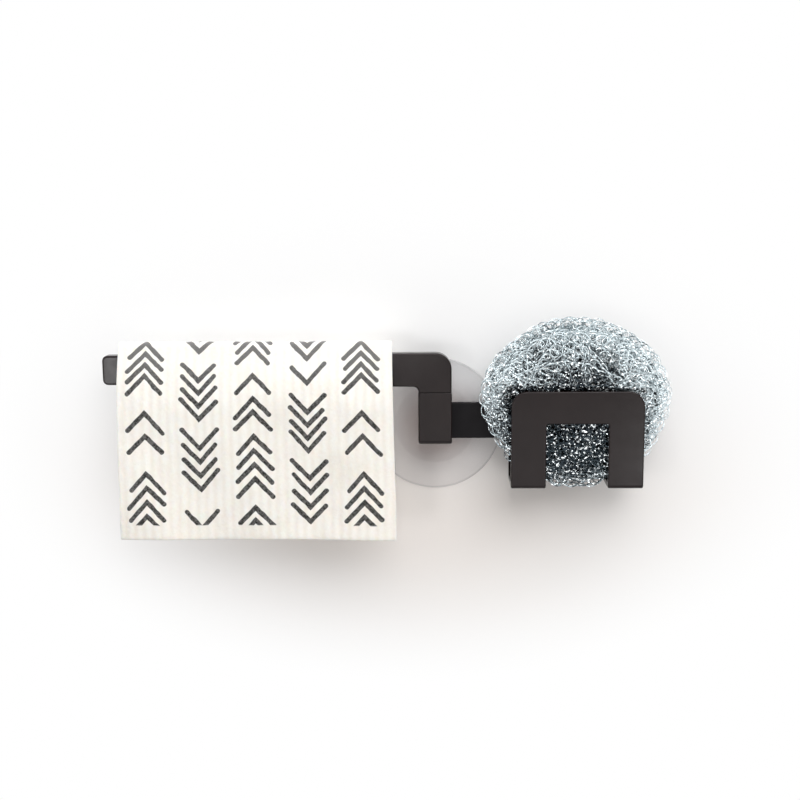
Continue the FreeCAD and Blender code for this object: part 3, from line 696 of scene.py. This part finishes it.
def strand_points(chance, laps, curls, curl_radius, layers, tilt, leaning):
    """Points of one strand: loops whose middle runs round the ball, wandering as it goes."""
    shell = chance.uniform(*layers)
    tip = Matrix.Rotation(chance.uniform(-tilt, tilt), 3, "X")
    tip = tip @ Matrix.Rotation(chance.uniform(-tilt, tilt), 3, "Z")
    turn = tip @ Matrix.Rotation(chance.uniform(0, 2 * math.pi), 3, "Y")
    seed = chance.uniform(0, 100)
    total = curls * CURL_STEPS
    laps *= chance.uniform(1 - LAP_CHANCE, 1 + LAP_CHANCE)
    middles = []
    for index in range(total + LOOK_AHEAD):
        lap = 2 * math.pi * laps * index / total
        way = turn @ Vector((math.cos(lap), drift(COURSE_DRIFT, lap, seed), math.sin(lap)))
        sunk = COURSE_SINK * abs(uneven(lap * SINK_PACE, 0.0, seed))
        middles.append(ball_point(way.normalized(), shell - sunk))

    points = []
    phase = chance.uniform(0, 2 * math.pi)
    lean = chance.gauss(0, leaning)
    hub = Vector((BALL_X, -BALL_HUB, BALL_Z))
    for index in range(total):
        ahead = (middles[index + LOOK_AHEAD] - middles[index]).normalized()
        outward = middles[index] - hub
        outward = (outward - ahead * outward.dot(ahead)).normalized()
        aside = ahead.cross(outward)
        leant = lean + drift(LEAN_DRIFT, index, seed)
        rising = outward * math.cos(leant) + aside * math.sin(leant)
        across = aside * math.cos(leant) - outward * math.sin(leant)
        bend = 2 * math.pi * index / CURL_STEPS + phase
        bend += drift(BEND_DRIFT, index, seed)
        radius = curl_radius * (1 + drift(RADIUS_DRIFT, index, seed))
        skew = drift(SKEW_DRIFT, index, seed)
        point = middles[index] + radius * (math.cos(bend) * rising + math.sin(bend) * ahead)
        point += across * radius * (LOOP_ASIDE * math.sin(bend / 2) + skew * math.cos(bend))
        points.append(keep_clear(point) * MM)
    return points


def wire_section():
    """The flat wire's cross-section, as a curve that is swept along the strands."""
    section = bpy.data.curves.new("wire_section", "CURVE")
    outline = section.splines.new("POLY")
    outline.points.add(3)
    for corner, (thick, wide) in zip(outline.points, ((-1, -1), (-1, 1), (1, 1), (1, -1))):
        corner.co = (thick * WIRE_THICK / 2 * MM, wide * WIRE_WIDE / 2 * MM, 0, 1)
    outline.use_cyclic_u = True
    piece = bpy.data.objects.new("wire_section", section)
    bpy.context.scene.collection.objects.link(piece)
    return piece


def make_scourer(finish):
    """The ball in several bundles of strands, each strand a flat wire bent along its curls."""
    chance = random.Random(STRAND_SEED)
    section = wire_section()
    for bundle in range(BUNDLES):
        wound = bpy.data.curves.new(f"scourer_wire_{bundle + 1}", "CURVE")
        wound.dimensions = "3D"
        wound.twist_mode = "TANGENT"
        wound.bevel_mode = "OBJECT"
        wound.bevel_object = section
        wound.use_fill_caps = True
        for count, course in STRANDS:
            for _ in range(count // BUNDLES):
                points = strand_points(chance, **course)
                strand = wound.splines.new("POLY")
                strand.points.add(len(points) - 1)
                for knot, point in zip(strand.points, points):
                    knot.co = (*point, 1)
        piece = bpy.data.objects.new(wound.name, wound)
        bpy.context.scene.collection.objects.link(piece)
        pick(piece)
        bpy.ops.object.convert(target="MESH")
        piece = bpy.context.object
        bpy.ops.object.shade_smooth_by_angle(angle=math.radians(WIRE_CREASE))
        piece.data.materials.clear()
        piece.data.materials.append(finish)
        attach(piece, "scourer")
        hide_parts("scourer")
    bpy.data.objects.remove(section)


# Stage, light and camera
def pale_wall():
    """A pale painted wall that keeps the shadows near the holder and fades to white further out; below the
    holder its colour is warmer, a painted warm shade.

    It is clear from behind, and lets the light of the lamps through.
    """
    made = Finish("pale_wall")
    where = made.place()
    spot = made.apart(where)
    wide = made.calc("DIVIDE", made.calc("SUBTRACT", spot["X"], OVAL_MIDDLE[0]), OVAL_HALF[0])
    high = made.calc("DIVIDE", made.calc("SUBTRACT", spot["Z"], OVAL_MIDDLE[1]), OVAL_HALF[1])
    fade = made.spread(made.length(made.together(wide, high)), OVAL_FADE, WHOLE, "SMOOTHSTEP")
    paint = made.grain(where, scale=400, detail=3)
    # painted warm shade: the wall's colour is warmer below the holder, where its shadows fall
    warm_shade = made.spread(spot["Z"], WARM_SHADE_HEIGHTS, WHOLE)
    colour = made.blend(warm_shade, made.blend(paint, *WALL_COOL), made.blend(paint, *WALL_WARM_SHADE))
    made.look(base_color=colour, roughness=0.9, specular_ior_level=0.1)
    glow = made.add("Emission", [("Color", (1, 1, 1, 1)), ("Strength", 1.0)]).outputs[0]
    faded = made.calc("MULTIPLY", fade, made.seen())
    front = made.add("MixShader", [(0, faded), (1, made.shader.outputs[0]), (2, glow)]).outputs[0]
    clear = made.add("BsdfTransparent").outputs[0]
    behind = made.add("NewGeometry").outputs["Backfacing"]
    through = made.calc("MAXIMUM", behind, made.add("LightPath").outputs["Is Shadow Ray"])
    whole = made.add("MixShader", [(0, through), (1, front), (2, clear)]).outputs[0]
    made.put(made.output.inputs["Surface"], whole)
    return made.material


def make_wall():
    clear_selection()
    upright = (math.pi / 2, 0, 0)
    bpy.ops.mesh.primitive_plane_add(size=WALL_SIZE, location=(0, WALL_BEHIND, 0), rotation=upright)
    wall = bpy.context.object
    wall.name = "wall"
    bpy.ops.object.transform_apply(location=True, rotation=True, scale=True)
    wall.data.materials.append(pale_wall())


def add_lamp(name, place, aim, size, power):
    lamp = bpy.data.lights.new(name, "AREA")
    lamp.shape = "RECTANGLE"
    lamp.size, lamp.size_y = size
    lamp.energy = power
    stand = bpy.data.objects.new(name, lamp)
    stand.location = place
    stand.rotation_euler = (Vector(aim) - Vector(place)).to_track_quat("-Z", "Y").to_euler()
    bpy.context.scene.collection.objects.link(stand)


def light_room():
    """Soft light from all round, stronger from above and weaker from the camera's side, with the lamps.

    What the camera sees of the room, straight or in a surface, is white.
    """
    world = bpy.data.worlds.new("room")
    bpy.context.scene.world = world
    world.use_nodes = True
    made = Nodes(world.node_tree)
    way = made.apart(made.add("TexCoord").outputs["Generated"])
    from_above = made.spread(way["Z"], ROOM_HEIGHTS, ROOM_LEVELS)
    from_front = made.spread(way["Y"], ROOM_TURN, ROOM_SHARES)
    level = made.calc("MULTIPLY", from_above, from_front)
    shown = made.add("Mix", [(0, made.seen()), (2, level), (3, 1.0)]).outputs[0]
    sky = made.tree.nodes["Background"]
    made.put(sky.inputs["Color"], (1, 1, 1, 1))
    made.put(sky.inputs["Strength"], shown)
    for name, (place, aim, size, power) in LAMPS.items():
        add_lamp(name, place, aim, size, power)


def place_camera():
    lens = bpy.data.cameras.new("camera")
    lens.lens = LENS
    lens.sensor_width = SENSOR
    camera = bpy.data.objects.new("camera", lens)
    right = Vector(CAMERA_RIGHT).normalized()
    up = Vector(CAMERA_UP)
    up = (up - right * up.dot(right)).normalized()
    turn = Matrix((right, up, right.cross(up))).transposed().to_4x4()
    camera.matrix_world = Matrix.Translation(CAMERA_PLACE) @ turn
    bpy.context.scene.collection.objects.link(camera)
    bpy.context.scene.camera = camera


def dress(name, finish):
    """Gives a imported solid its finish."""
    data = solids[name].data
    if len(data.materials) == 0:
        data.materials.append(finish)
    for place in range(len(data.materials)):
        data.materials[place] = finish


bpy.context.scene.view_settings.view_transform = "Standard"
place_camera()
make_wall()
light_room()

charcoal = moulded_plastic(
    "charcoal_plastic", dark=(0.0122, 0.0074, 0.0072), light=(0.0182, 0.0122, 0.0120),
    edge=(0.150, 0.138, 0.134), rough=0.17, shine=0.18, grain_size=0.00045)
# a darker copy of the charcoal plastic for the strap: painted shade of its recess behind the leg and the
# scourer
strap_painted_shade = moulded_plastic(
    "strap_plastic", dark=(0.006, 0.0052, 0.006), light=(0.010, 0.0087, 0.010),
    edge=(0.04, 0.038, 0.040), rough=0.46, shine=0.10, grain_size=0.0005)
knob_grey = moulded_plastic(
    "knob_plastic", dark=(0.016, 0.015, 0.015), light=(0.022, 0.020, 0.020),
    edge=(0.085, 0.080, 0.078), rough=0.38, shine=0.2, grain_size=0.0004)
for solid in ("mount_hub", "cloth_arm", "sponge_cradle"):
    dress(solid, charcoal)
dress("link_strap", strap_painted_shade)
dress("cup_knob", knob_grey)
dress("hub_screws", screw_steel())
dress("suction_cup", clear_pvc())

make_cloth(sponge_cloth("sponge_cloth", True), sponge_cloth("sponge_cloth_inside", False))
make_scourer(scourer_wire())
